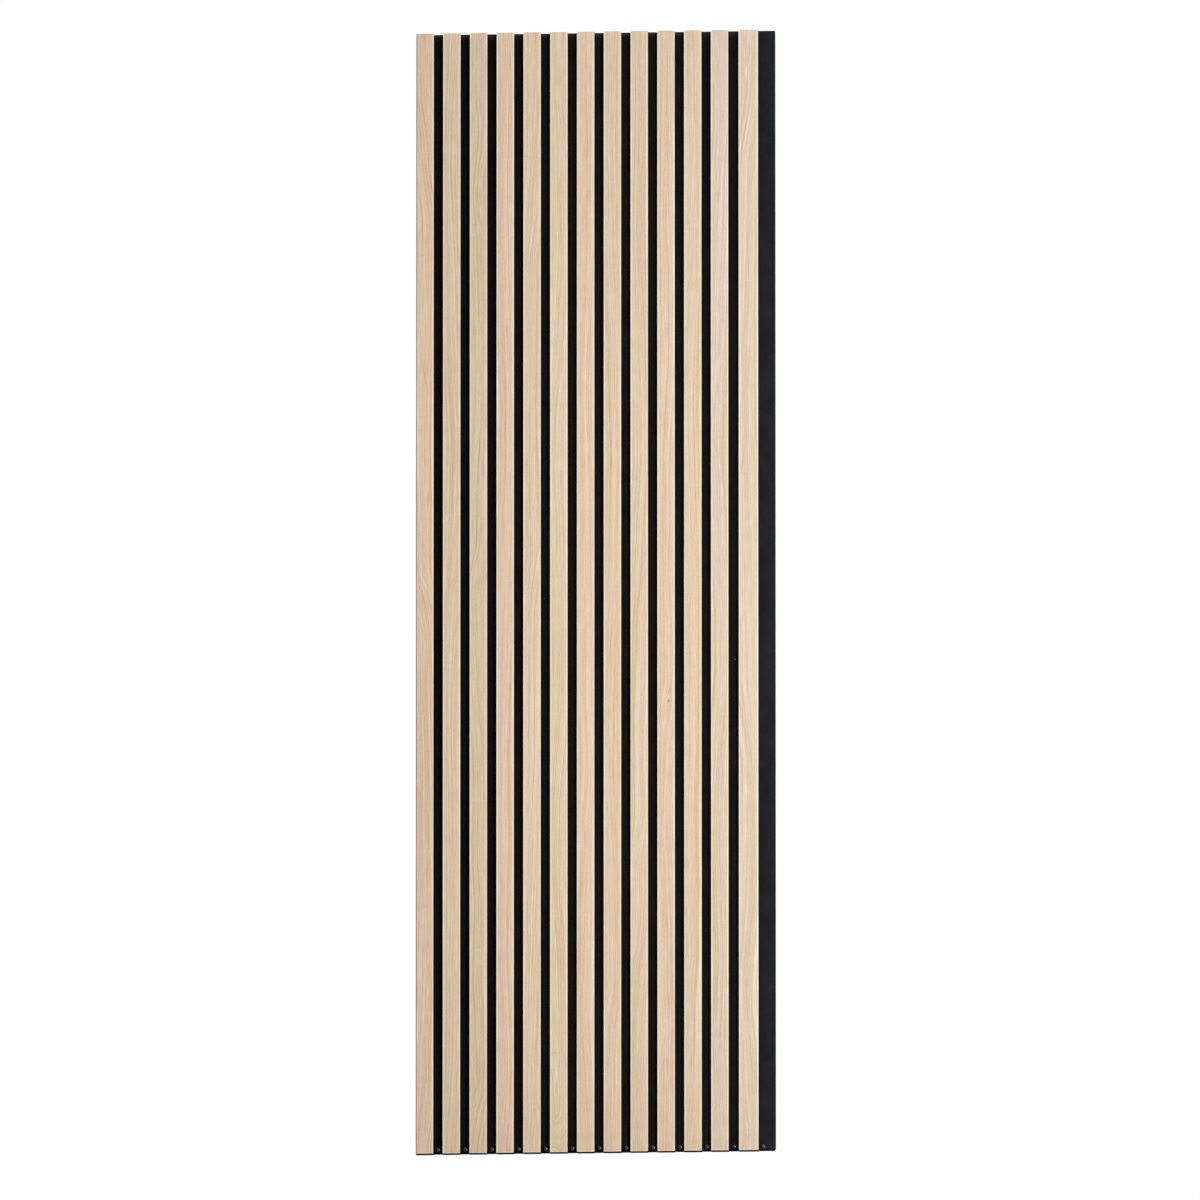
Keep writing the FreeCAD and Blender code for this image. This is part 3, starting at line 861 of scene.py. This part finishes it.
def make_floor():
    """A pale floor that keeps the panel's shadow."""
    height = cad_box[0][2] - FLOOR_GAP
    mesh = bpy.data.meshes.new("floor")
    corners = [(x * FLOOR_HALF, y * FLOOR_HALF, height) for x, y in ((-1, -1), (1, -1), (1, 1), (-1, 1))]
    mesh.from_pydata(corners, [], [(0, 1, 2, 3)])
    floor = bpy.data.objects.new("floor", mesh)
    bpy.context.scene.collection.objects.link(floor)
    material, tree, place_mm = new_material("pale_floor")
    seen = background_rays(tree)
    tone = blend(tree, seen, linear("#c4c4c4"), linear("#f2f2f2"))
    pale = add(tree, "ShaderNodeBsdfDiffuse", {"Color": tone})
    clear = add(tree, "ShaderNodeBsdfTransparent")
    # To the eye the floor fades out into the white around it, so it has no edge.
    away = add(tree, "ShaderNodeVectorMath", {0: place_mm}, output="Value", operation="LENGTH")
    faded = rise(tree, away, FADE_START, FADE_END)
    faded = add(tree, "ShaderNodeMath", {0: faded, 1: seen}, operation="MULTIPLY")
    # The camera stands lower than the floor, so the floor's underside lets it see the panel.
    underside = add(tree, "ShaderNodeNewGeometry", output="Backfacing")
    unseen = add(tree, "ShaderNodeMath", {0: underside, 1: faded}, operation="MAXIMUM")
    shader = add(tree, "ShaderNodeMixShader", {0: unseen, 1: pale, 2: clear})
    add(tree, "ShaderNodeOutputMaterial", {"Surface": shader})
    mesh.materials.append(material)


# The soft light from all round, and what is added to it from far left and right and from above
DOME_ALL = 0.14
DOME_SIDES = 1.74
DOME_TOP = 0.46


def make_world():
    """White to the eye, and a soft dome of light on the object."""
    world = bpy.data.worlds.new("studio")
    world.use_nodes = True
    tree = world.node_tree
    tree.nodes.clear()
    direction = add(tree, "ShaderNodeTexCoord", output="Generated")
    ways = add(tree, "ShaderNodeSeparateXYZ", {0: direction}).node.outputs
    # Most soft light comes from far left and right, so it reaches the wood but not the felt deep in the gaps.
    sideways = add(tree, "ShaderNodeMath", {0: ways["X"]}, operation="ABSOLUTE")
    from_sides = rise(tree, sideways, 0.4, 0.9)
    from_top = rise(tree, ways["Z"], 0.2, 0.9)
    dome = weigh(tree, DOME_ALL, (from_sides, DOME_SIDES), (from_top, DOME_TOP))
    seen = background_rays(tree)
    strength = add(tree, "ShaderNodeMix", {0: seen, 2: dome, 3: 1.0}, data_type="FLOAT")
    colour = blend(tree, seen, linear("#f2f8ff"), linear("#ffffff"))
    light = add(tree, "ShaderNodeBackground", {"Color": colour, "Strength": strength})
    add(tree, "ShaderNodeOutputWorld", {"Surface": light})
    bpy.context.scene.world = world


def add_softbox(name, place, aim, size, power, tint):
    """A soft lamp that the camera doesn't see. Its place, its aim and its size are in metres and its power is
    in watts."""
    lamp = bpy.data.lights.new(name, "AREA")
    lamp.color = linear(tint)[:3]
    lamp.shape = "RECTANGLE"
    lamp.size, lamp.size_y = size
    lamp.energy = power
    softbox = bpy.data.objects.new(name, lamp)
    softbox.location = place
    softbox.rotation_euler = (Vector(aim) - Vector(place)).to_track_quat("-Z", "Y").to_euler()
    softbox.visible_camera = False
    bpy.context.scene.collection.objects.link(softbox)


def make_camera():
    """A camera at the photograph's viewing angle."""
    camera = bpy.data.cameras.new("camera")
    camera.lens = CAMERA_LENS
    camera.sensor_width = CAMERA_SENSOR
    camera.clip_end = 2 * CAMERA_DISTANCE
    camera_object = bpy.data.objects.new("camera", camera)
    level = math.cos(CAMERA_ELEVATION)
    outward = Vector((math.sin(CAMERA_AZIMUTH) * level, -math.cos(CAMERA_AZIMUTH) * level,
                      math.sin(CAMERA_ELEVATION)))
    camera_object.location = CAMERA_AIM + CAMERA_DISTANCE * outward
    camera_object.rotation_euler = (-outward).to_track_quat("-Z", "Y").to_euler()
    bpy.context.scene.collection.objects.link(camera_object)
    bpy.context.scene.camera = camera_object


# The panel, and what stands round it

make_camera()
fibreboard = dyed_fibreboard()
slat_spans = []
for number in range(1, SLAT_COUNT + 1):
    node = f"slat_{number:02d}_veneer"
    low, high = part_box(node)
    slat_spans.append((low.x, high.x))
    oak = oak_veneer(number, low, high)
    link_piece(f"oak_face_{number:02d}", veneer_strip(low, high), oak, "oak_veneer", node)
    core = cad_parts[f"slat_{number:02d}_core"]
    core.data.materials.clear()
    core.data.materials.append(fibreboard)
felt_low, felt_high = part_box("felt_backing")
strip_start = slat_spans[-1][1]
felt = needled_felt(strip_start, felt_low, felt_high)
spread_low = felt_low - Vector((0, 0, FELT_FOOT_SPREAD))
link_piece("felt_board", felt_board(spread_low, felt_high), felt, "felt", "felt_backing")
link_piece("felt_fibres", loose_fibres(felt_low, felt_high, slat_spans), felt_fibre(), "felt")
link_piece("lint_tufts", lint_tufts(felt_low.y), cotton_lint(), "felt")
screws = foot_screws(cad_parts["foot_screws"])
link_piece("pan_head_screws", screws, phosphated_steel(), "screw_steel", "foot_screws")

make_floor()
make_world()
add_softbox("key_softbox", place=(1.4, -2.7, -0.2), aim=(0.0, 0.0, -0.1), size=(0.8, 1.4), power=43,
            tint="#fffaf2")
add_softbox("back_softbox", place=(-1.4, 2.4, 0.5), aim=(0.0, 0.0, 0.0), size=(1.5, 1.8), power=40,
            tint="#ffffff")
bpy.context.scene.view_settings.view_transform = "Standard"
